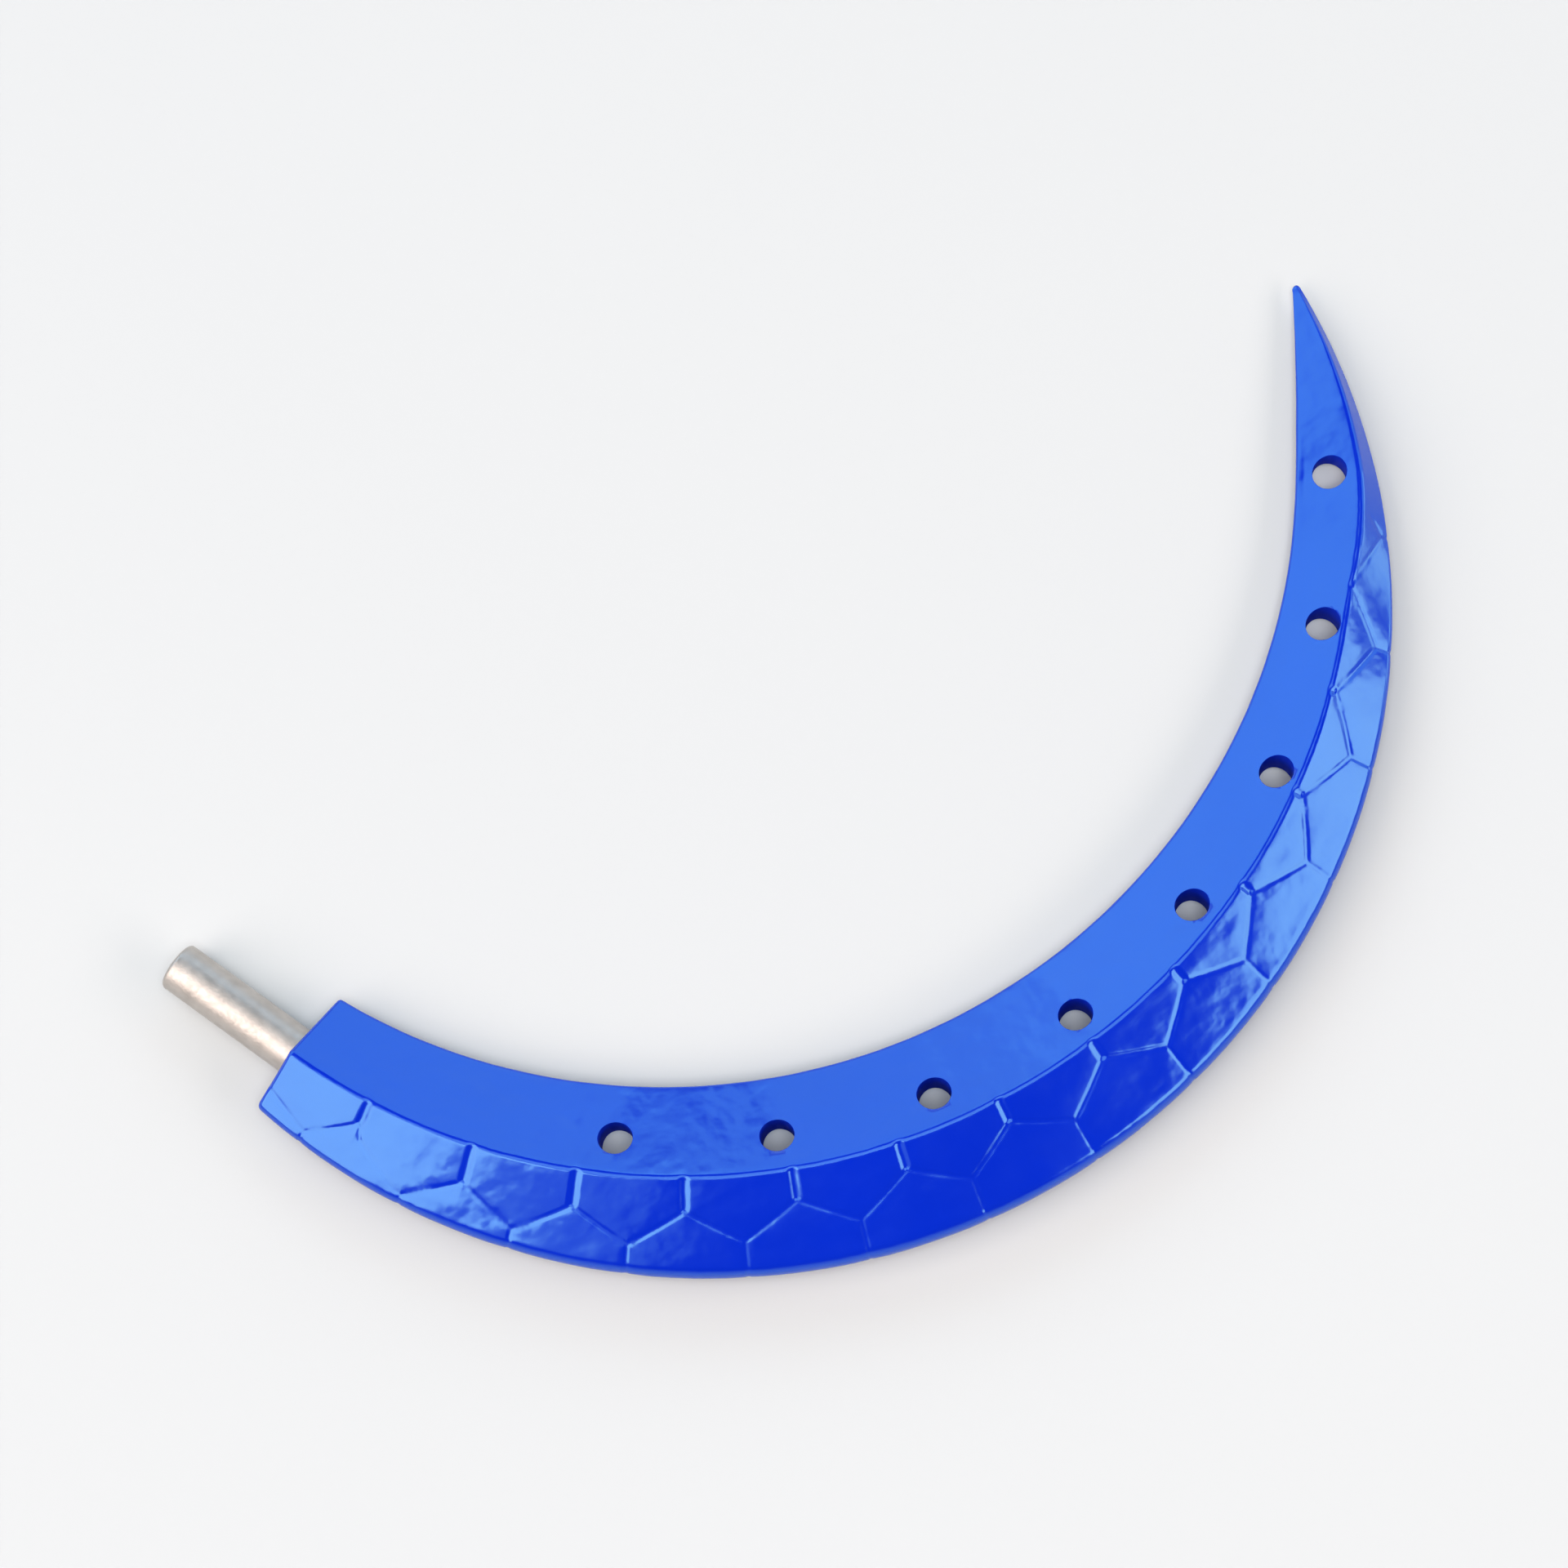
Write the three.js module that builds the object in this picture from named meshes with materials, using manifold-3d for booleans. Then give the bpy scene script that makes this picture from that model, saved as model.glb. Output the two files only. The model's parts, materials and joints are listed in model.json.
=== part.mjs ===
// Crescent arm with mounting pin.
//
// One solid moulded crescent with a four-sided section. It runs from a flat end face to a blunt
// point, has a row of eight holes through it, and carries a straight metal pin in the end face.
// Millimetres, +Z up. The arm is drawn in a plan frame centred on its hole circle, with the first
// hole on +X and its middle plane at z = 0. It is then laid down as it comes to rest on a table,
// with its chord along X and the origin at the bottom centre of its box.

import * as THREE from 'three';
import { ConvexHull } from 'three/addons/math/ConvexHull.js';
import { mergeVertices } from 'three/addons/utils/BufferGeometryUtils.js';
import Module from 'manifold-3d';

// ---- Driving dimensions: millimetres, and degrees round the hole circle ----

const HOLE_CIRCLE_R = 50;
const HOLE_COUNT = 8;
const HOLE_STEP = 14.4;
const HOLE_D = 2.7;

const FACE_ANGLE = -29.4;
const NOSE_ANGLE = 118.4;
const NOSE_LENGTH = 0.45;

// Each long edge is a circle with its own centre, so the three close in on each other at the tip.
const OUTER_EDGE = { radius: 53.2, x: 6.9, y: 2.35 };
const INNER_EDGE = { radius: 49.3, x: -3.85, y: -2.6 };
const RIDGE_LINE = { radius: 51.9, x: 1.2, y: -0.3 };

// The inner edge curls outwards over the last stretch to form the point.
const CURL_START = 100;
const CURL_AT_NOSE = 2.1;

const INNER_SLOPE = 25.6;
const INNER_CORNER_R = 0.4;
const RIDGE_CORNER_R = 1;
const RIDGE_CORNER_SHARE = 0.12;
const OUTER_CORNER_SHARE = 0.17;

const PIN_D = 4;
const PIN_PROUD = 12;
const PIN_BURIED = 12;
const PIN_CHAMFER = 0.3;
const PIN_AXIS_R = 52.45;
const SOCKET_GAP = 0.3;

const STATIONS = 60;
const INNER_CORNER_STEPS = 2;
const RIDGE_CORNER_STEPS = 3;
const OUTER_CORNER_STEPS = 4;
const NOSE_STEPS = 3;
const HOLE_SIDES = 24;
const PIN_SIDES = 32;

// Grams per cubic centimetre: moulded plastic and steel.
const DENSITY = { horn_body: 1.15, mounting_pin: 7.9 };

const radians = THREE.MathUtils.degToRad;
const wasm = await Module();
wasm.setup();

// ---- Plan outlines ----

// Distance from the hole circle's centre to a shifted circle, along the given angle.
function reach(circle, angle) {
  const along = circle.x * Math.cos(radians(angle)) + circle.y * Math.sin(radians(angle));
  const offset2 = circle.x ** 2 + circle.y ** 2 - along ** 2;
  return along + Math.sqrt(circle.radius ** 2 - offset2);
}

function innerReach(angle) {
  const turned = Math.max(0, angle - CURL_START) / (NOSE_ANGLE - CURL_START);
  return reach(INNER_EDGE, angle) + CURL_AT_NOSE * turned ** 2;
}

// ---- Section across the arm ----

// Corner points of the sharp four-sided section: [distance out, height], with corner radii.
// The inner and outer corners are pushed out so that, once rounded, they reach the plan outline.
function sharpSection(angle) {
  const inner = innerReach(angle);
  const outer = reach(OUTER_EDGE, angle);
  const width = outer - inner;
  const ridge = Math.min(Math.max(reach(RIDGE_LINE, angle), inner + 0.4 * width), outer - 0.3 * width);
  const slope = radians(INNER_SLOPE);

  const innerR = Math.min(INNER_CORNER_R, 0.08 * width);
  const innerTip = inner + innerR - innerR / Math.sin(slope);
  const height = (ridge - innerTip) * Math.tan(slope);

  const outerR = OUTER_CORNER_SHARE * (outer - ridge);
  const run = outer - outerR - ridge;
  const fall = Math.atan2(height, run) - Math.asin(outerR / Math.hypot(height, run));
  const outerTip = ridge + height / Math.tan(fall);

  const ridgeR = Math.min(RIDGE_CORNER_R, RIDGE_CORNER_SHARE * width);
  return [
    { at: [innerTip, 0], radius: innerR, steps: INNER_CORNER_STEPS },
    { at: [ridge, height], radius: ridgeR, steps: RIDGE_CORNER_STEPS },
    { at: [outerTip, 0], radius: outerR, steps: OUTER_CORNER_STEPS },
    { at: [ridge, -height], radius: ridgeR, steps: RIDGE_CORNER_STEPS },
  ];
}

// Replaces each corner of a convex outline with an arc.
function roundCorners(corners) {
  const points = [];
  corners.forEach((corner, i) => {
    const here = new THREE.Vector2(...corner.at);
    const before = new THREE.Vector2(...corners.at(i - 1).at).sub(here).normalize();
    const after = new THREE.Vector2(...corners[(i + 1) % corners.length].at).sub(here).normalize();
    const half = Math.acos(before.dot(after)) / 2;
    const middle = before.clone().add(after).normalize();
    const centre = middle.clone().multiplyScalar(corner.radius / Math.sin(half)).add(here);
    const outwards = Math.atan2(-middle.y, -middle.x);
    const sweep = Math.PI / 2 - half;
    for (let k = 0; k <= corner.steps; k += 1) {
      const turn = outwards + sweep - (2 * sweep * k) / corner.steps;
      points.push([centre.x + corner.radius * Math.cos(turn), centre.y + corner.radius * Math.sin(turn)]);
    }
  });
  return points;
}

// A point of a section, placed in the plan frame.
function place([out, height], angle) {
  return new THREE.Vector3(out * Math.cos(radians(angle)), out * Math.sin(radians(angle)), height);
}

function ringAt(angle) {
  return roundCorners(sharpSection(angle)).map((point) => place(point, angle));
}

// ---- Solids ----

// A closed skin over a row of rings, each end closed by a fan to one point.
function skin(rings, startPoint, endPoint) {
  const sides = rings[0].length;
  const points = [...rings.flat(), startPoint, endPoint];
  const start = points.length - 2;
  const end = points.length - 1;
  const faces = [];
  for (let k = 0; k < sides; k += 1) {
    const next = (k + 1) % sides;
    for (let row = 0; row + 1 < rings.length; row += 1) {
      const a = row * sides + k;
      const b = row * sides + next;
      faces.push(a, b, a + sides, b, b + sides, a + sides);
    }
    const last = (rings.length - 1) * sides;
    faces.push(start, next, k);
    faces.push(end, last + k, last + next);
  }
  const geometry = new THREE.BufferGeometry().setFromPoints(points);
  geometry.setIndex(faces);
  return geometry;
}

function toSolid(geometry) {
  geometry.deleteAttribute('normal');
  geometry.deleteAttribute('uv');
  const merged = mergeVertices(geometry, 1e-5);
  return new wasm.Manifold(new wasm.Mesh({
    numProp: 3,
    vertProperties: merged.attributes.position.array,
    triVerts: Uint32Array.from(merged.index.array),
  }));
}

function toGeometry(solid) {
  const mesh = solid.getMesh();
  const geometry = new THREE.BufferGeometry();
  geometry.setAttribute('position', new THREE.BufferAttribute(mesh.vertProperties, 3));
  geometry.setIndex(new THREE.BufferAttribute(mesh.triVerts, 1));
  geometry.computeVertexNormals();
  return geometry;
}

// ---- Crescent body ----

const faceCentre = place([PIN_AXIS_R, 0], FACE_ANGLE);
const pinDirection = new THREE.Vector3(Math.sin(radians(FACE_ANGLE)), -Math.cos(radians(FACE_ANGLE)), 0);

function crescentBlank() {
  const rings = [];
  for (let i = 0; i <= STATIONS; i += 1) {
    rings.push(ringAt(FACE_ANGLE + ((NOSE_ANGLE - FACE_ANGLE) * i) / STATIONS));
  }
  // The point is half a ball: the last ring shrinks towards its own centre as it moves on.
  const last = rings.at(-1);
  const centre = last.reduce((sum, p) => sum.add(p), new THREE.Vector3()).divideScalar(last.length);
  const ahead = new THREE.Vector3(-Math.sin(radians(NOSE_ANGLE)), Math.cos(radians(NOSE_ANGLE)), 0);
  for (let i = 1; i < NOSE_STEPS; i += 1) {
    const turn = ((Math.PI / 2) * i) / NOSE_STEPS;
    const shift = ahead.clone().multiplyScalar(NOSE_LENGTH * Math.sin(turn));
    rings.push(last.map((p) => p.clone().sub(centre).multiplyScalar(Math.cos(turn)).add(centre).add(shift)));
  }
  return toSolid(skin(rings, faceCentre, centre.clone().addScaledVector(ahead, NOSE_LENGTH)));
}

function throughHole(index) {
  const cutter = new THREE.CylinderGeometry(HOLE_D / 2, HOLE_D / 2, 4 * PIN_D, HOLE_SIDES);
  const centre = place([HOLE_CIRCLE_R, 0], index * HOLE_STEP);
  cutter.rotateX(Math.PI / 2);
  cutter.translate(centre.x, centre.y, centre.z);
  return toSolid(cutter);
}

function pinSocket() {
  const radius = PIN_D / 2 + SOCKET_GAP;
  const depth = PIN_BURIED + SOCKET_GAP;
  const overshoot = 2;
  const cutter = new THREE.CylinderGeometry(radius, radius, depth + overshoot, PIN_SIDES);
  const turn = new THREE.Quaternion().setFromUnitVectors(new THREE.Vector3(0, 1, 0), pinDirection);
  const middle = faceCentre.clone().addScaledVector(pinDirection, (overshoot - depth) / 2);
  cutter.applyQuaternion(turn);
  cutter.translate(middle.x, middle.y, middle.z);
  return toSolid(cutter);
}

function makeBody() {
  let solid = crescentBlank().subtract(pinSocket());
  for (let i = 0; i < HOLE_COUNT; i += 1) {
    solid = solid.subtract(throughHole(i));
  }
  const material = new THREE.MeshStandardMaterial({ color: 0x1f4fd8, roughness: 0.18, metalness: 0 });
  const body = new THREE.Mesh(toGeometry(solid), material);
  body.name = 'horn_body';
  return body;
}

// ---- Mounting pin ----

function makePin() {
  const radius = PIN_D / 2;
  const length = PIN_PROUD + PIN_BURIED;
  const profile = [
    new THREE.Vector2(0, 0),
    new THREE.Vector2(radius - PIN_CHAMFER, 0),
    new THREE.Vector2(radius, PIN_CHAMFER),
    new THREE.Vector2(radius, length - PIN_CHAMFER),
    new THREE.Vector2(radius - PIN_CHAMFER, length),
    new THREE.Vector2(0, length),
  ];
  const material = new THREE.MeshStandardMaterial({ color: 0xc9c0b2, roughness: 0.4, metalness: 1 });
  const pin = new THREE.Mesh(new THREE.LatheGeometry(profile, PIN_SIDES), material);
  pin.name = 'mounting_pin';
  pin.quaternion.setFromUnitVectors(new THREE.Vector3(0, 1, 0), pinDirection);
  pin.position.copy(faceCentre).addScaledVector(pinDirection, -PIN_BURIED);
  return pin;
}

// ---- Resting position ----

// Every triangle's three corners, in the arm's frame.
function cornersOf(mesh) {
  mesh.updateMatrix();
  const position = mesh.geometry.toNonIndexed().getAttribute('position');
  const corner = (_, i) => new THREE.Vector3().fromBufferAttribute(position, i).applyMatrix4(mesh.matrix);
  return Array.from({ length: position.count }, corner);
}

// Sums the tetrahedra between each triangle and the origin.
function centreOfMass(meshes) {
  const moment = new THREE.Vector3();
  let mass = 0;
  for (const mesh of meshes) {
    const corners = cornersOf(mesh);
    for (let i = 0; i < corners.length; i += 3) {
      const [a, b, c] = corners.slice(i, i + 3);
      const share = (DENSITY[mesh.name] * a.dot(b.clone().cross(c))) / 6;
      mass += share;
      moment.addScaledVector(a.clone().add(b).add(c), share / 4);
    }
  }
  return moment.divideScalar(mass);
}

// The way up when the arm lies still. Of the hull faces under its middle plane, it settles on the
// one that brings its centre of mass lowest: two stretches of the underside ridge touch the table.
function restingUp(meshes) {
  const centre = centreOfMass(meshes);
  const hull = new ConvexHull().setFromPoints(meshes.flatMap(cornersOf));
  const under = hull.faces.filter((face) => face.normal.z < 0);
  const height = (face) => -face.distanceToPoint(centre);
  return under.reduce((low, face) => (height(face) < height(low) ? face : low)).normal.clone().negate();
}

// Stands the resting direction upright, then turns the pin-to-tip chord onto +X.
function restingTurn(meshes) {
  const vertical = new THREE.Vector3(0, 0, 1);
  const upright = new THREE.Quaternion().setFromUnitVectors(restingUp(meshes), vertical);
  const pinEnd = faceCentre.clone().addScaledVector(pinDirection, PIN_PROUD);
  const chord = place([HOLE_CIRCLE_R, 0], NOSE_ANGLE).sub(pinEnd).applyQuaternion(upright);
  return new THREE.Quaternion().setFromAxisAngle(vertical, -Math.atan2(chord.y, chord.x)).multiply(upright);
}

const pieces = [makeBody(), makePin()];
const arm = new THREE.Group();
arm.add(...pieces);
arm.quaternion.copy(restingTurn(pieces));

const group = new THREE.Group();
group.add(arm);
group.updateMatrixWorld(true);

const box = new THREE.Box3().setFromObject(arm, true);
const middle = box.getCenter(new THREE.Vector3());
arm.position.set(-middle.x, -middle.y, -box.min.z);

export default group;
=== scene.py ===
import json
import math

import bpy
import numpy as np
from mathutils import Matrix, Vector, noise


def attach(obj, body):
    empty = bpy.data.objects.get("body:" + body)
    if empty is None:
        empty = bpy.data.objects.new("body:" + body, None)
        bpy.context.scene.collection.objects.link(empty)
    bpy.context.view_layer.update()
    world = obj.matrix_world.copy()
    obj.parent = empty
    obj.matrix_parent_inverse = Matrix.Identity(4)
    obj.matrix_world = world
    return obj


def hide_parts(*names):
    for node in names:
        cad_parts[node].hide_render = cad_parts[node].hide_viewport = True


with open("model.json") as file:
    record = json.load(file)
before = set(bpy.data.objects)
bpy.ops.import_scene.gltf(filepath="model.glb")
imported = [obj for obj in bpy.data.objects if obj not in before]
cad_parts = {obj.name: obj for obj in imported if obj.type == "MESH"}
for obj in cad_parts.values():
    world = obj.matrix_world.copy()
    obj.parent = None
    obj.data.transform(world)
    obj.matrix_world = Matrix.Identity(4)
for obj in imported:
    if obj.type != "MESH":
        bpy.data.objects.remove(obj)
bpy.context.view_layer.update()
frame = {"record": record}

# Crescent arm with mounting pin: fine meshes, materials, camera and studio.
#
# The pieces are drawn in millimetres in the arm's plan frame: its origin is the centre of the hole
# circle, the first hole is on +X and the middle plane is z = 0. Angles are degrees about that
# centre, growing from the pin towards the point. One matrix takes the plan frame to the row frame.

MM = 0.001

# ---- Sizes shared with the CAD model ----

HOLE_CIRCLE_R = 50
HOLE_COUNT = 8
HOLE_STEP = 14.4
HOLE_R = 1.35

FACE_ANGLE = -29.4
NOSE_ANGLE = 118.4
NOSE_LENGTH = 0.45

# Circles that the section's corners follow in plan: radius, x, y.
OUTER_EDGE = (53.2, 6.9, 2.35)
INNER_EDGE = (49.3, -3.85, -2.6)
RIDGE_LINE = (51.9, 1.2, -0.3)
RIDGE_FROM_INNER_SHARE = 0.4
RIDGE_FROM_OUTER_SHARE = 0.3
CURL_START = 100
CURL_AT_NOSE = 2.1

INNER_SLOPE = math.radians(25.6)
INNER_CORNER_R = 0.4
INNER_CORNER_SHARE = 0.08
OUTER_CORNER_SHARE = 0.17

PIN_R = 2.0
PIN_PROUD = 12
PIN_BURIED = 12
PIN_AXIS_R = 52.45

# ---- Fine detail that only the visual model has ----

RIDGE_CORNER_R = 0.72
RIDGE_CORNER_SHARE = 0.09
FACE_FILLET = 0.35
HOLE_RIM = 0.16

# Towards the point the ridge moves outwards at the same height, by a share of the arm's width.
RIDGE_SHIFT = 0.17
RIDGE_SHIFT_SPAN = (86, 102)

SOCKET_RIM = 0.12
SOCKET_GAP = 0.08
PIN_RIM = 0.35

# Hexagon pattern of grooves: one zigzag line, with a short groove inwards from each inner corner
# and outwards from each outer corner. It wraps a circle a little off the hole circle's centre.
PATTERN_CENTRE = (2.67, -1.25)
PATTERN_R = 54.3
PATTERN_HALF_STEP = 4.722
PATTERN_FIRST_PEAK = -25.1
ZIGZAG_HALF_HEIGHT = 1.22
CORNERS_BEFORE_FIRST_PEAK = 2
CORNERS_FROM_FIRST_PEAK = 33
PATTERN_FADE = (95.5, 98.5)

# Each groove's half width and depth.
ZIGZAG_GROOVE = (0.34, 0.038)
INWARD_GROOVE = (0.5, 0.12)
OUTWARD_GROOVE = (0.27, 0.045)
CELL_CROWN = 0.03
CELL_CROWN_REACH = 0.8

# Next to the end face the first peak is lower, and the first short groove inwards starts from an
# extra corner, this far before and below the regular one.
FIRST_PEAK_DROP = 1.0
EXTRA_CORNER_BEFORE = 0.6
EXTRA_CORNER_DROP = 1.1

# Each hole leaves a shallow flow mark from its rim to the inner edge.
SINK_DEPTH = 0.05
SINK_REACH = 1.5

# Unevenness of the moulded facets, as (depth, length along the arm, length across it).
RIPPLES = ((0.036, 2.6, 1.1), (0.05, 8, 4))

# ---- Camera ----

CAMERA_AZIMUTH = -110
CAMERA_ELEVATION = 78.9
CAMERA_DISTANCE = 0.556
PICTURE_UP_AZIMUTH = 58.5
PICTURE_WIDTH = 0.1226
AIM = Vector((-0.0032, 0.0122, 0.004))


def direction(azimuth, elevation):
    """Unit vector towards an azimuth and elevation in degrees."""
    a, e = math.radians(azimuth), math.radians(elevation)
    return Vector((math.cos(a) * math.cos(e), math.sin(a) * math.cos(e), math.sin(e)))


def look_rotation(forward, up_hint):
    """Rotation of a camera or light that looks along forward."""
    right = forward.cross(up_hint).normalized()
    up = right.cross(forward)
    return Matrix((right, up, -forward)).transposed().to_4x4()


def make_camera():
    data = bpy.data.cameras.new("camera")
    data.sensor_width = 36
    data.lens = data.sensor_width * CAMERA_DISTANCE / PICTURE_WIDTH
    camera = bpy.data.objects.new("camera", data)
    bpy.context.scene.collection.objects.link(camera)
    away = direction(CAMERA_AZIMUTH, CAMERA_ELEVATION)
    turn = look_rotation(-away, direction(PICTURE_UP_AZIMUTH, 0))
    camera.matrix_world = Matrix.Translation(AIM + away * CAMERA_DISTANCE) @ turn
    bpy.context.scene.camera = camera


# ---- Plan frame ----

def plan_to_row():
    """Matrix from plan millimetres to row metres, found from the two mounts at the end face."""
    mounts = {mount["name"]: mount for mount in frame["record"]["mounts"]}
    outward = Vector(mounts["pin_end"]["axis"]).normalized()
    face = Vector(mounts["pin_end"]["pos_m"]) - outward * PIN_PROUD * MM
    radial = Vector(mounts["end_face"]["pos_m"]) - face
    radial = (radial - outward * radial.dot(outward)).normalized()
    turn = math.radians(FACE_ANGLE)
    x_axis = math.cos(turn) * radial + math.sin(turn) * outward
    y_axis = math.sin(turn) * radial - math.cos(turn) * outward
    z_axis = outward.cross(radial)
    centre = face - radial * PIN_AXIS_R * MM
    rotation = Matrix((x_axis, y_axis, z_axis)).transposed().to_4x4()
    return Matrix.Translation(centre) @ rotation @ Matrix.Scale(MM, 4)


PLAN = plan_to_row()


def make_piece(name, points, faces, matrix=PLAN):
    mesh = bpy.data.meshes.new(name)
    mesh.from_pydata([tuple(p) for p in points], [], [tuple(f) for f in faces])
    mesh.transform(matrix)
    mesh.update()
    piece = bpy.data.objects.new(name, mesh)
    bpy.context.scene.collection.objects.link(piece)
    return piece


def skin_faces(rows, sides):
    """Quads between neighbouring closed rings of points, facing outwards when the rings run
    counter-clockwise seen from the last ring."""
    faces = []
    for row in range(rows - 1):
        for k in range(sides):
            a, b = row * sides + k, row * sides + (k + 1) % sides
            faces.append((a, b, b + sides, a + sides))
    return faces


# ---- Section across the arm ----

def smooth(t):
    """Eased step from 0 to 1."""
    t = min(max(t, 0), 1)
    return t * t * (3 - 2 * t)


def reach(circle, angle):
    """Distance from the plan origin to a shifted circle (radius, x, y), along the angle."""
    radius, x, y = circle
    along = x * math.cos(math.radians(angle)) + y * math.sin(math.radians(angle))
    return along + math.sqrt(radius ** 2 - (x ** 2 + y ** 2 - along ** 2))


def section_facts(angle):
    """Centres, radii and facet angles of the rounded four-sided section, as (out, height)."""
    turned = max(0, angle - CURL_START) / (NOSE_ANGLE - CURL_START)
    inner = reach(INNER_EDGE, angle) + CURL_AT_NOSE * turned ** 2
    outer = reach(OUTER_EDGE, angle)
    width = outer - inner
    ridge = max(reach(RIDGE_LINE, angle), inner + RIDGE_FROM_INNER_SHARE * width)
    ridge = min(ridge, outer - RIDGE_FROM_OUTER_SHARE * width)

    inner_r = min(INNER_CORNER_R, INNER_CORNER_SHARE * width)
    inner_tip = inner + inner_r - inner_r / math.sin(INNER_SLOPE)
    height = (ridge - inner_tip) * math.tan(INNER_SLOPE)
    ramp = (angle - RIDGE_SHIFT_SPAN[0]) / (RIDGE_SHIFT_SPAN[1] - RIDGE_SHIFT_SPAN[0])
    ridge += RIDGE_SHIFT * width * smooth(ramp)
    run = ridge - inner - inner_r
    rise = math.atan2(height, run) - math.asin(inner_r / math.hypot(height, run))

    outer_r = OUTER_CORNER_SHARE * (outer - ridge)
    run = outer - outer_r - ridge
    fall = math.atan2(height, run) - math.asin(outer_r / math.hypot(height, run))

    ridge_r = min(RIDGE_CORNER_R, RIDGE_CORNER_SHARE * width)
    rise_normal = Vector((-math.sin(rise), math.cos(rise)))
    fall_normal = Vector((math.sin(fall), math.cos(fall)))
    back = (rise_normal + fall_normal) * ridge_r / (1 + rise_normal.dot(fall_normal))
    return {
        "inner": (Vector((inner + inner_r, 0)), inner_r),
        "ridge": (Vector((ridge, height)) - back, ridge_r),
        "outer": (Vector((outer - outer_r, 0)), outer_r),
        "rise": rise,
        "fall": fall,
    }


def inner_facet_height(x, y):
    """Height of the inner facet's plane over a plan point."""
    facts = section_facts(math.degrees(math.atan2(y, x)))
    centre, radius = facts["inner"]
    tip = centre.x - radius / math.sin(facts["rise"])
    return (math.hypot(x, y) - tip) * math.tan(facts["rise"])


# ---- Groove pattern ----

def pattern_nodes():
    """The zigzag's corners in order: (angle, distance out, side), where a short groove runs
    outwards for side 1, inwards for side -1 and not at all for side 0."""
    nodes = []
    x, y = PATTERN_CENTRE
    for index in range(-CORNERS_BEFORE_FIRST_PEAK, CORNERS_FROM_FIRST_PEAK):
        turn = math.radians(PATTERN_FIRST_PEAK + index * PATTERN_HALF_STEP)
        side = 1 if index % 2 == 0 else -1
        radius = PATTERN_R + side * ZIGZAG_HALF_HEIGHT
        if index == 0:
            radius -= FIRST_PEAK_DROP
        px, py = x + radius * math.cos(turn), y + radius * math.sin(turn)
        angle, out = math.degrees(math.atan2(py, px)), math.hypot(px, py)
        if index == 1:
            nodes.append((angle - EXTRA_CORNER_BEFORE, out - EXTRA_CORNER_DROP, side))
            side = 0
        nodes.append((angle, out, side))
    return nodes


NODES = pattern_nodes()


def zigzag(angle):
    """The two pattern corners on either side, and how far out the line between them passes."""
    after = next(i for i, node in enumerate(NODES) if node[0] > angle)
    low, high = NODES[after - 1], NODES[after]
    share = (angle - low[0]) / (high[0] - low[0])
    return low, high, low[1] + share * (high[1] - low[1])


def groove_sink(near, groove):
    """Depth of a groove at a distance from its middle line."""
    half_width, depth = groove
    return depth * (1 - min(near / half_width, 1) ** 2) ** 2


def pattern_sink(angle, out, fall):
    """How far the groove pattern sinks the outer facet."""
    low, high, _ = zigzag(angle)
    arc = math.radians(1) * PATTERN_R
    u = (angle - low[0]) * arc
    span = (high[0] - low[0]) * arc
    v = (out - low[1]) / math.cos(fall)
    top = (high[1] - low[1]) / math.cos(fall)

    share = min(max((u * span + v * top) / (span ** 2 + top ** 2), 0), 1)
    nearest = math.hypot(u - share * span, v - share * top)
    sink = groove_sink(nearest, ZIGZAG_GROOVE)
    for sideways, rise, side in ((u, v, low[2]), (u - span, v - top, high[2])):
        if rise * side > 0:
            groove = OUTWARD_GROOVE if side > 0 else INWARD_GROOVE
            sink = max(sink, groove_sink(abs(sideways), groove))
            nearest = min(nearest, abs(sideways))
    fade = 1 - smooth((angle - PATTERN_FADE[0]) / (PATTERN_FADE[1] - PATTERN_FADE[0]))
    return fade * (sink + CELL_CROWN * math.exp(-(nearest / CELL_CROWN_REACH) ** 2))


def ripple(angle, out):
    """Shallow unevenness of the moulding, drawn out along the arm."""
    along = math.radians(angle) * HOLE_CIRCLE_R
    sink = 0
    for layer, (depth, length, width) in enumerate(RIPPLES):
        place = Vector((along / length, out / width, 10 * layer))
        sink += depth * (1 + noise.noise(place)) / 2
    return sink


def hole_sink(angle, out):
    """Flow mark from the nearest hole to the inner edge."""
    index = min(max(round(angle / HOLE_STEP), 0), HOLE_COUNT - 1)
    along = math.radians(angle - index * HOLE_STEP) * HOLE_CIRCLE_R
    away = math.hypot(along, max(out - HOLE_CIRCLE_R, 0))
    return SINK_DEPTH * math.exp(-(away / SINK_REACH) ** 2)


# ---- Crescent body ----

INNER_ARC_STEPS = 5
INNER_FACET_STEPS = 16
RIDGE_ARC_STEPS = 9
OUTER_ARC_STEPS = 8
BELOW_ZIGZAG_STEPS = 8
ABOVE_ZIGZAG_STEPS = 11
ZIGZAG_OFFSETS = (-0.42, -0.3, -0.2, -0.1, 0, 0.1, 0.2, 0.3, 0.42)
INWARD_OFFSETS = (-0.6, -0.48, -0.36, -0.24, -0.12, 0, 0.12, 0.24, 0.36, 0.48, 0.6)
OUTWARD_OFFSETS = (-0.3, -0.2, -0.1, 0, 0.1, 0.2, 0.3)
SMALLEST_STEP = 0.02


def arc_points(centre, radius, start, end, steps):
    """Points and outward directions along an arc of a section."""
    for k in range(steps + 1):
        turn = start + (end - start) * k / steps
        away = Vector((math.cos(turn), math.sin(turn)))
        yield centre + radius * away, away


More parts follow.
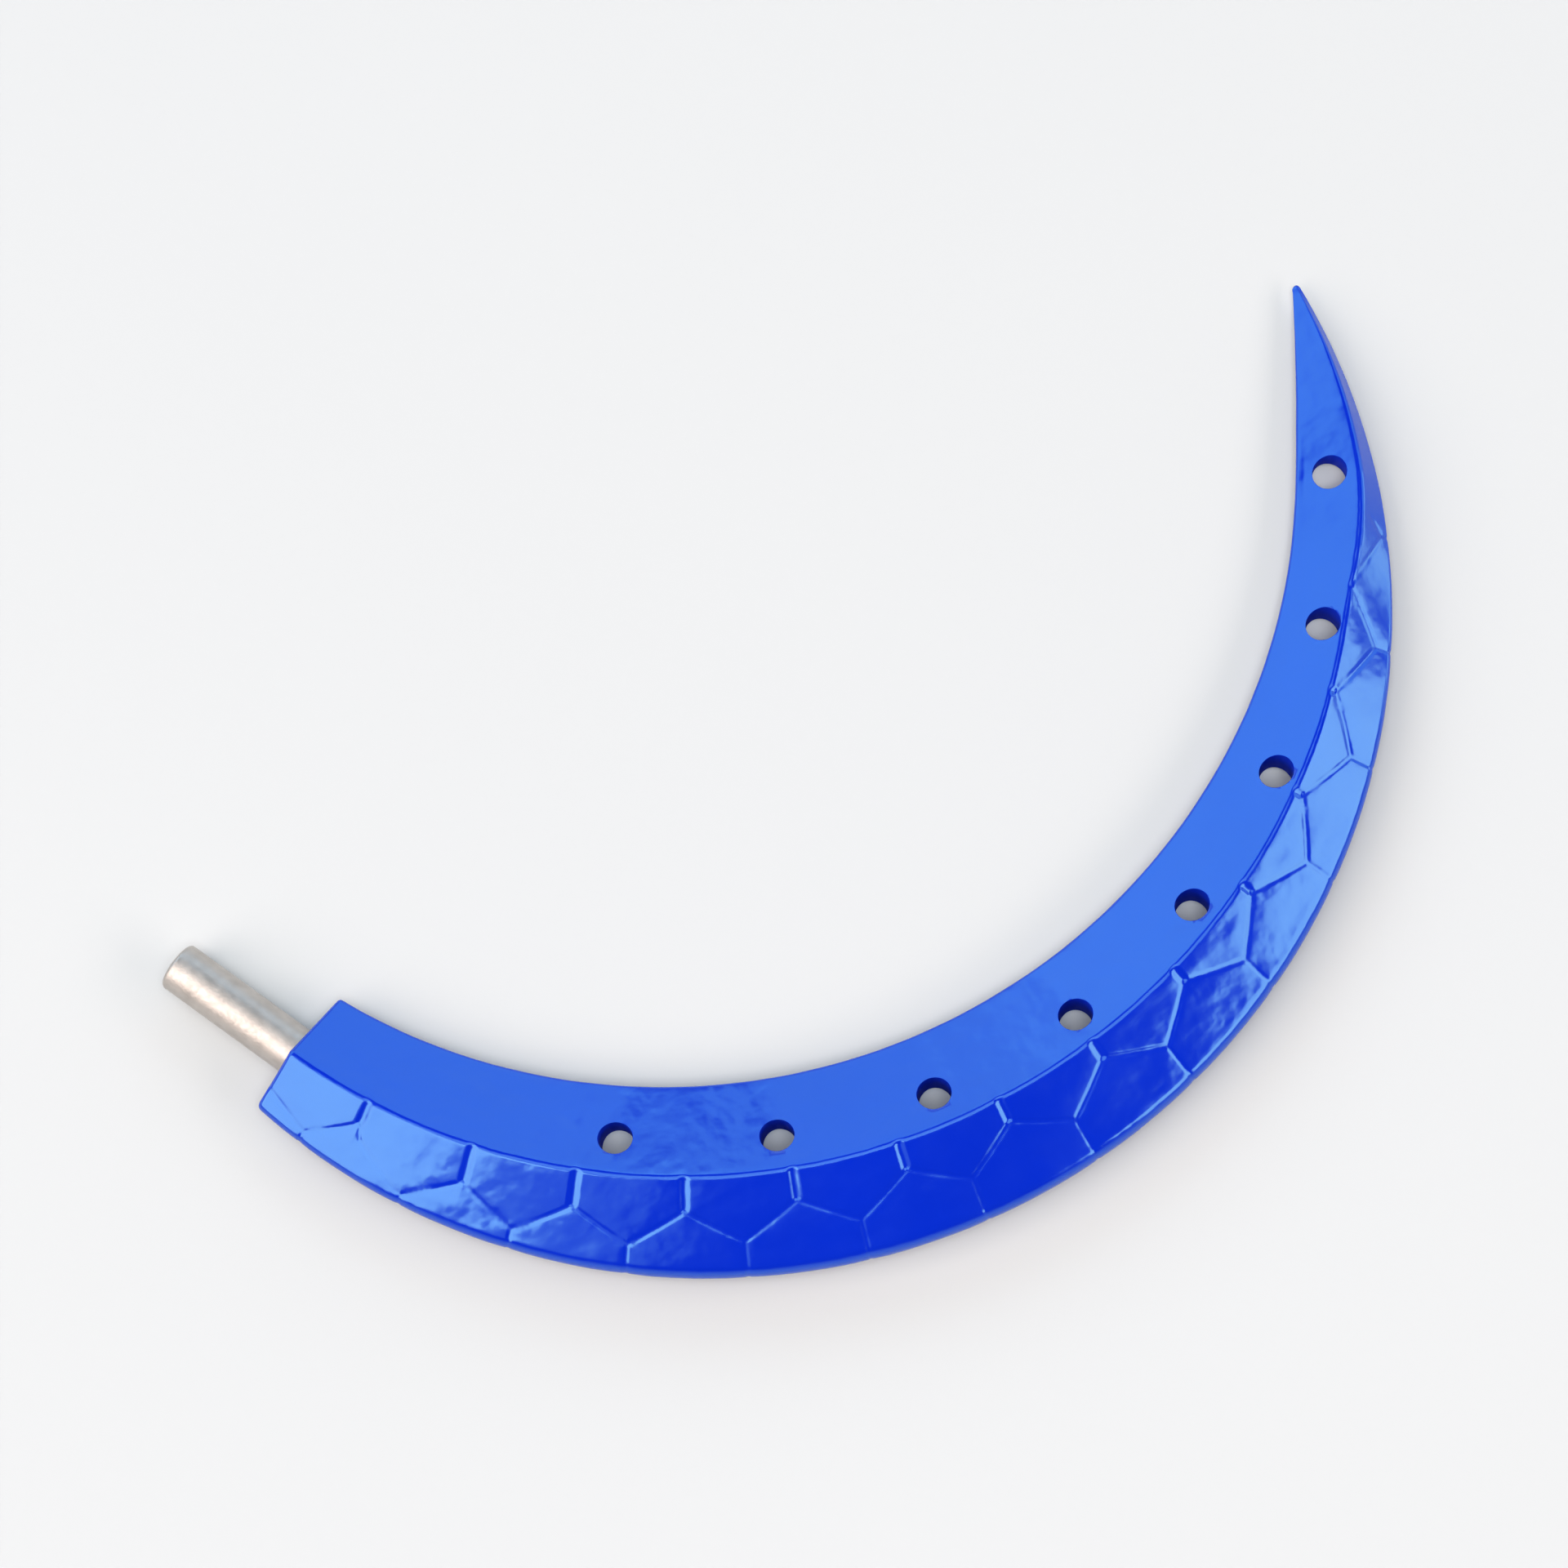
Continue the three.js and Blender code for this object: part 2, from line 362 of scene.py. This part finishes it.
def outer_facet_rows(angle, start, end):
    """Distances out of the mesh rows over the outer facet, crowded along the zigzag groove."""
    line = min(max(zigzag(angle)[2], start), end)
    grooves = [line + offset for offset in ZIGZAG_OFFSETS]
    below = np.linspace(start, grooves[0], BELOW_ZIGZAG_STEPS + 1)[1:-1]
    above = np.linspace(grooves[-1], end, ABOVE_ZIGZAG_STEPS + 1)[1:-1]
    rows = np.concatenate((below, grooves, above))
    order = np.arange(1, len(rows) + 1)
    rows = np.maximum(rows, start + order * SMALLEST_STEP * (end - start))
    return np.minimum(rows, end - order[::-1] * SMALLEST_STEP * (end - start))


def half_section(angle):
    """Upper half of the section at an angle, inner edge to outer edge: points sunk by the relief."""
    facts = section_facts(angle)
    rise, fall = facts["rise"], facts["fall"]
    rise_turn, fall_turn = math.pi / 2 + rise, math.pi / 2 - fall
    inner = list(arc_points(*facts["inner"], math.pi, rise_turn, INNER_ARC_STEPS))
    ridge = list(arc_points(*facts["ridge"], rise_turn, fall_turn, RIDGE_ARC_STEPS))
    outer = list(arc_points(*facts["outer"], fall_turn, 0, OUTER_ARC_STEPS))

    points = [point - away * ripple(angle, inner[-1][0].x) for point, away in inner]
    normal = inner[-1][1]
    for k in range(1, INNER_FACET_STEPS):
        point = inner[-1][0].lerp(ridge[0][0], k / INNER_FACET_STEPS)
        points.append(point - normal * (hole_sink(angle, point.x) + ripple(angle, point.x)))
    for k, (point, normal) in enumerate(ridge):
        share = smooth(k / RIDGE_ARC_STEPS)
        sink = share * pattern_sink(angle, point.x, fall) + ripple(angle, point.x)
        points.append(point - normal * sink)
    normal = outer[0][1]
    start, end = ridge[-1][0], outer[0][0]
    for out in outer_facet_rows(angle, start.x, end.x):
        point = start.lerp(end, (out - start.x) / (end.x - start.x))
        sink = pattern_sink(angle, out, fall) + ripple(angle, out)
        points.append(point - normal * sink)
    for point, away in outer:
        sink = pattern_sink(angle, point.x, fall) + ripple(angle, end.x)
        points.append(point - away * sink)
    return points


def closed_section(angle, inset=0):
    """Whole section as a closed outline of (out, height), shrunk by an inset."""
    upper = half_section(angle)
    lower = [Vector((point.x, -point.y)) for point in upper[-2:0:-1]]
    outline = np.array([tuple(point) for point in upper + lower])
    if inset:
        along = np.roll(outline, -1, axis=0) - np.roll(outline, 1, axis=0)
        length = np.linalg.norm(along, axis=1, keepdims=True)
        outline = outline - inset * np.stack((-along[:, 1], along[:, 0]), axis=1) / length
    return outline


def in_plan(outline, angle):
    """Plan points of a section outline that stands at an angle."""
    turn = math.radians(angle)
    out, height = outline[:, 0], outline[:, 1]
    return np.stack((out * math.cos(turn), out * math.sin(turn), height), axis=1)


def station_angles():
    """Angles of the mesh rings: crowded round each radial groove, even in between."""
    angles = []
    arc = math.radians(1) * PATTERN_R
    steps_between = 9
    closest = 0.04
    for low, high in zip(NODES, NODES[1:]):
        crowd = [offset / arc for offset in (OUTWARD_OFFSETS if low[2] > 0 else INWARD_OFFSETS)]
        next_crowd = OUTWARD_OFFSETS if high[2] > 0 else INWARD_OFFSETS
        first, last = low[0] + crowd[-1], high[0] + next_crowd[0] / arc
        angles += [low[0] + offset for offset in crowd]
        if last > first:
            angles += np.linspace(first, last, steps_between + 1)[1:-1].tolist()
    stations = [FACE_ANGLE + math.degrees(FACE_FILLET / PIN_AXIS_R)]
    for angle in sorted(angles):
        if stations[-1] + closest < angle < NOSE_ANGLE - closest:
            stations.append(angle)
    return [*stations, NOSE_ANGLE]


def body_mesh():
    """The closed body before it is drilled: filleted end face, arm and rounded nose."""
    fillet_steps = 5
    nose_steps = 6
    rings = []
    for k in range(fillet_steps):
        turn = math.pi / 2 * k / fillet_steps
        inset = FACE_FILLET * (1 - math.sin(turn))
        angle = FACE_ANGLE + math.degrees(FACE_FILLET * (1 - math.cos(turn)) / PIN_AXIS_R)
        rings.append(in_plan(closed_section(angle, inset), angle))
    rings += [in_plan(closed_section(angle), angle) for angle in station_angles()]

    last = rings[-1]
    centre = last.mean(axis=0)
    nose = math.radians(NOSE_ANGLE)
    ahead = np.array((-math.sin(nose), math.cos(nose), 0)) * NOSE_LENGTH
    for k in range(1, nose_steps):
        turn = math.pi / 2 * k / nose_steps
        rings.append(centre + (last - centre) * math.cos(turn) + ahead * math.sin(turn))

    sides = len(last)
    points = np.concatenate((*rings, [centre + ahead]))
    faces = skin_faces(len(rings), sides)
    end = (len(rings) - 1) * sides
    faces += [(end + k, end + (k + 1) % sides, len(points) - 1) for k in range(sides)]
    faces.append(tuple(range(sides))[::-1])
    return points, faces


# ---- Cutters ----

def ring_solid(rings):
    """Closed mesh over equal rings of points, with a flat face at each end."""
    sides = len(rings[0])
    faces = skin_faces(len(rings), sides)
    faces.append(tuple(range(sides))[::-1])
    end = (len(rings) - 1) * sides
    faces.append(tuple(range(end, end + sides)))
    return np.concatenate(rings), faces


def hole_cutter(index):
    """A vertical drill that flares at both ends, so that it rounds the rim it leaves."""
    sides, steps, lip, clear = 64, 6, 0.3, 6
    last_turn = math.radians(14)
    turn = math.radians(index * HOLE_STEP)
    centre = HOLE_CIRCLE_R * np.array((math.cos(turn), math.sin(turn)))
    rim = []
    for k in range(steps + 1):
        t = math.pi / 2 + (last_turn - math.pi / 2) * k / steps
        rim.append((HOLE_R + HOLE_RIM * (1 - math.sin(t)), HOLE_RIM * (math.cos(t) - 1)))
    rim.append((rim[-1][0] + lip, rim[-1][1] + lip * math.tan(last_turn)))

    upper = []
    for radius, offset in rim:
        ring = []
        for k in range(sides):
            around = 2 * math.pi * k / sides
            x = centre[0] + radius * math.cos(around)
            y = centre[1] + radius * math.sin(around)
            ring.append((x, y, inner_facet_height(x, y) + offset))
        upper.append(np.array(ring))
    top = upper[-1].copy()
    top[:, 2] = clear
    upper.append(top)
    lower = [ring * (1, 1, -1) for ring in reversed(upper)]
    return ring_solid(lower + upper)


def pin_points(profile, sides):
    """Rings of a body turned about the pin's axis: profile of (radius, distance out of the face)."""
    turn = math.radians(FACE_ANGLE)
    radial = np.array((math.cos(turn), math.sin(turn), 0))
    outward = np.array((math.sin(turn), -math.cos(turn), 0))
    up = np.array((0, 0, 1))
    rings = []
    for radius, out in profile:
        ring = []
        for k in range(sides):
            around = 2 * math.pi * k / sides
            side = radial * math.cos(around) + up * math.sin(around)
            ring.append(radial * PIN_AXIS_R + outward * out + radius * side)
        rings.append(np.array(ring))
    return rings


def socket_cutter():
    """The pin's blind socket, with a rounded rim at the end face."""
    radius = PIN_R + SOCKET_GAP
    steps, sides, beyond = 5, 96, 2
    profile = [(radius, -PIN_BURIED - SOCKET_GAP)]
    for k in range(steps + 1):
        t = math.pi / 2 * (1 - k / steps)
        profile.append((radius + SOCKET_RIM * (1 - math.sin(t)), SOCKET_RIM * (math.cos(t) - 1)))
    profile.append((profile[-1][0], beyond))
    return ring_solid(pin_points(profile, sides))


def cut(piece, cutters):
    """Cut several closed meshes, given as (points, faces), out of a piece."""
    points, faces, start = [], [], 0
    for cutter_points, cutter_faces in cutters:
        points.append(cutter_points)
        faces += [tuple(i + start for i in face) for face in cutter_faces]
        start += len(cutter_points)
    cutter = make_piece("cutter", np.concatenate(points), faces)
    boolean = piece.modifiers.new("cut", "BOOLEAN")
    boolean.operation = "DIFFERENCE"
    boolean.solver = "MANIFOLD"
    boolean.object = cutter
    depsgraph = bpy.context.evaluated_depsgraph_get()
    mesh = bpy.data.meshes.new_from_object(piece.evaluated_get(depsgraph), depsgraph=depsgraph)
    piece.modifiers.clear()
    piece.data = mesh
    bpy.data.objects.remove(cutter)


def mark_bores(piece):
    """Store which corners lie on the walls of the through holes, for the material."""
    slack = 0.02
    to_plan = PLAN.inverted()
    mesh = piece.data
    bore = mesh.attributes.new("bore", "FLOAT", "CORNER")
    for face in mesh.polygons:
        x, y, _ = to_plan @ face.center
        index = round(math.degrees(math.atan2(y, x)) / HOLE_STEP)
        turn = math.radians(index * HOLE_STEP)
        away = math.hypot(x - HOLE_CIRCLE_R * math.cos(turn), y - HOLE_CIRCLE_R * math.sin(turn))
        if 0 <= index < HOLE_COUNT and away < HOLE_R + slack:
            for corner in face.loop_indices:
                bore.data[corner].value = 1


def shade_smooth(piece, sharp_angle):
    piece.data.shade_smooth()
    piece.data.set_sharp_from_angle(angle=math.radians(sharp_angle))


# ---- Node materials ----

def new_material(name):
    material = bpy.data.materials.new(name)
    material.use_nodes = True
    tree = material.node_tree
    return material, tree, tree.nodes["Principled BSDF"]


def add_node(tree, kind, inputs=None, **settings):
    node = tree.nodes.new(kind)
    for key, value in settings.items():
        setattr(node, key, value)
    for key, value in (inputs or {}).items():
        if isinstance(value, bpy.types.NodeSocket):
            tree.links.new(value, node.inputs[key])
        else:
            node.inputs[key].default_value = value
    return node


def object_coordinates(tree):
    return add_node(tree, "ShaderNodeTexCoord").outputs["Object"]


def plastic_material():
    """Glossy royal blue moulding: faint colour flow, uneven gloss, soft waves and dull bores."""
    material, tree, shader = new_material("royal_blue_plastic")
    where = object_coordinates(tree)
    flow = add_node(tree, "ShaderNodeTexNoise", {"Vector": where, "Scale": 90, "Detail": 3})
    colour = add_node(tree, "ShaderNodeMix", {"Factor": flow.outputs["Fac"]}, data_type="RGBA")
    colour.inputs["A"].default_value = (0.0, 0.012, 0.375, 1)
    colour.inputs["B"].default_value = (0.0, 0.014, 0.42, 1)
    tree.links.new(colour.outputs["Result"], shader.inputs["Base Color"])

    smear = add_node(tree, "ShaderNodeTexNoise", {"Vector": where, "Scale": 260, "Detail": 4})
    gloss = add_node(tree, "ShaderNodeMapRange", {
        "Value": smear.outputs["Fac"], "From Min": 0.35, "From Max": 0.7,
        "To Min": 0.13, "To Max": 0.2,
    })
    bore = add_node(tree, "ShaderNodeAttribute", attribute_name="bore").outputs["Fac"]
    rough = add_node(tree, "ShaderNodeMix", {0: bore, 2: gloss.outputs["Result"], 3: 0.8})
    tree.links.new(rough.outputs[0], shader.inputs["Roughness"])
    shine = add_node(tree, "ShaderNodeMix", {0: bore, 2: 1, 3: 0.15})
    tree.links.new(shine.outputs[0], shader.inputs["Specular IOR Level"])

    wave = add_node(tree, "ShaderNodeTexNoise", {"Vector": where, "Scale": 620, "Detail": 1.5})
    grain = add_node(tree, "ShaderNodeTexNoise", {"Vector": where, "Scale": 2600, "Detail": 3})
    slow = add_node(tree, "ShaderNodeBump", {
        "Height": wave.outputs["Fac"], "Strength": 1, "Distance": 0.00005,
    })
    fine = add_node(tree, "ShaderNodeBump", {
        "Height": grain.outputs["Fac"], "Normal": slow.outputs["Normal"],
        "Strength": 0.25, "Distance": 0.000004,
    })
    tree.links.new(fine.outputs["Normal"], shader.inputs["Normal"])
    shader.inputs["IOR"].default_value = 1.55
    shader.inputs["Specular Tint"].default_value = (0.36, 1, 1, 1)
    return material


def pin_material():
    """Bead-blasted steel: fine grain over a slightly uneven colour."""
    material, tree, shader = new_material("satin_steel")
    where = object_coordinates(tree)
    grain = add_node(tree, "ShaderNodeTexNoise", {"Vector": where, "Scale": 3600, "Detail": 4})
    cloud = add_node(tree, "ShaderNodeTexNoise", {"Vector": where, "Scale": 900, "Detail": 5})
    colour = add_node(tree, "ShaderNodeMix", {"Factor": cloud.outputs["Fac"]}, data_type="RGBA")
    colour.inputs["A"].default_value = (0.40, 0.37, 0.34, 1)
    colour.inputs["B"].default_value = (0.64, 0.60, 0.56, 1)
    tree.links.new(colour.outputs["Result"], shader.inputs["Base Color"])
    gloss = add_node(tree, "ShaderNodeMapRange", {
        "Value": grain.outputs["Fac"], "From Min": 0.3, "From Max": 0.7,
        "To Min": 0.4, "To Max": 0.55,
    })
    tree.links.new(gloss.outputs["Result"], shader.inputs["Roughness"])
    bump = add_node(tree, "ShaderNodeBump", {
        "Height": grain.outputs["Fac"], "Strength": 0.8, "Distance": 0.00003,
    })
    tree.links.new(bump.outputs["Normal"], shader.inputs["Normal"])
    shader.inputs["Metallic"].default_value = 1
    return material


def floor_material():
    """Matt pale paper."""
    material, tree, shader = new_material("pale_paper")
    where = object_coordinates(tree)
    mottle = add_node(tree, "ShaderNodeTexNoise", {"Vector": where, "Scale": 6, "Detail": 4})
    colour = add_node(tree, "ShaderNodeMix", {"Factor": mottle.outputs["Fac"]}, data_type="RGBA")
    colour.inputs["A"].default_value = (0.463, 0.477, 0.477, 1)
    colour.inputs["B"].default_value = (0.483, 0.497, 0.497, 1)
    tree.links.new(colour.outputs["Result"], shader.inputs["Base Color"])
    shader.inputs["Roughness"].default_value = 0.9
    shader.inputs["Specular IOR Level"].default_value = 0.2
    return material


# ---- Pieces ----

def make_body():
    points, faces = body_mesh()
    piece = make_piece("crescent_body", points, faces)
    cut(piece, [socket_cutter()] + [hole_cutter(index) for index in range(HOLE_COUNT)])
    mark_bores(piece)
    shade_smooth(piece, 40)
    piece.data.materials.clear()
    piece.data.materials.append(plastic_material())
    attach(piece, "root")
    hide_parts("horn_body")


def make_pin():
    steps, sides, straight_steps = 6, 96, 13
    end_ring_r = 0.3 * PIN_R
    corner = [math.pi / 2 * k / steps for k in range(steps + 1)]
    inside, outside = -PIN_BURIED + PIN_RIM, PIN_PROUD - PIN_RIM
    core = PIN_R - PIN_RIM
    profile = [(end_ring_r, -PIN_BURIED)]
    profile += [(core + PIN_RIM * math.sin(t), inside - PIN_RIM * math.cos(t)) for t in corner]
    straight = np.linspace(inside, outside, straight_steps + 1)[1:-1]
    profile += [(PIN_R, out) for out in straight]
    profile += [(core + PIN_RIM * math.cos(t), outside + PIN_RIM * math.sin(t)) for t in corner]
    profile.append((end_ring_r, PIN_PROUD))
    piece = make_piece("steel_pin", *ring_solid(pin_points(profile, sides)))
    shade_smooth(piece, 40)
    piece.data.materials.append(pin_material())
    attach(piece, "root")
    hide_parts("mounting_pin")


# ---- Studio ----

FLOOR_SIZE = 12
WARM = (1.15, 1, 0.94)
COOL = (0.8, 1.02, 1.25)


def make_floor():
    half = FLOOR_SIZE / 2
    corners = [(-half, -half, 0), (half, -half, 0), (half, half, 0), (-half, half, 0)]
    floor = make_piece("floor", corners, [(0, 1, 2, 3)], Matrix.Identity(4))
    floor.data.materials.append(floor_material())


def softbox(name, azimuth, elevation, distance, width, height, radiance, colour=(1, 1, 1)):
    """A rectangular light aimed at the object. The radiance is how bright its face looks."""
    data = bpy.data.lights.new(name, "AREA")
    data.shape = "RECTANGLE"
    data.size = width
    data.size_y = height
    data.energy = radiance * math.pi * width * height
    data.color = colour
    light = bpy.data.objects.new(name, data)
    bpy.context.scene.collection.objects.link(light)
    away = direction(azimuth, elevation)
    turn = look_rotation(-away, Vector((0, 0, 1)))
    light.matrix_world = Matrix.Translation(away * distance) @ turn
    return light


def make_world():
    """Dim room that is lighter towards the horizon."""
    world = bpy.data.worlds.new("studio")
    world.use_nodes = True
    tree = world.node_tree
    where = add_node(tree, "ShaderNodeTexCoord").outputs["Generated"]
    height = add_node(tree, "ShaderNodeSeparateXYZ", {"Vector": where}).outputs["Z"]
    glow = add_node(tree, "ShaderNodeMapRange", {
        "Value": height, "From Min": 0.12, "From Max": 0.4, "To Min": 0.7, "To Max": 0.07,
    })
    tree.links.new(glow.outputs["Result"], tree.nodes["Background"].inputs["Strength"])
    tree.nodes["Background"].inputs["Color"].default_value = (1, 1, 1, 1)
    bpy.context.scene.world = world


def make_studio():
    make_world()
    bpy.context.scene.view_settings.view_transform = "Standard"
    make_floor()
    softbox("north_panel", 26, 31, 1.6, 2.1, 0.8, 1.2, COOL)
    softbox("north_west_panel", 102, 35, 1.6, 2.05, 0.95, 1.2, COOL)
    softbox("north_west_core", 108, 34, 1.5, 1.2, 0.7, 0.45, COOL)
    softbox("west_box", 173, 44, 1.1, 0.76, 1.03, 3.8, WARM)
    softbox("west_edge", -150, 52, 1.1, 0.3, 0.5, 0.5)
    softbox("east_box", -46, 34, 1.1, 1.05, 0.44, 3.8, WARM)
    softbox("east_low", -14, 8, 1.1, 0.35, 0.3, 2.3)
    softbox("overhead", 0, 89, 1.6, 1.05, 1.05, 1.7)
    # Lightens the shadows, without a highlight of its own on the flat facets.
    fill = softbox("fill_by_camera", CAMERA_AZIMUTH, CAMERA_ELEVATION, 1.6, 0.6, 0.6, 14)
    fill.visible_glossy = False


make_camera()
make_body()
make_pin()
make_studio()
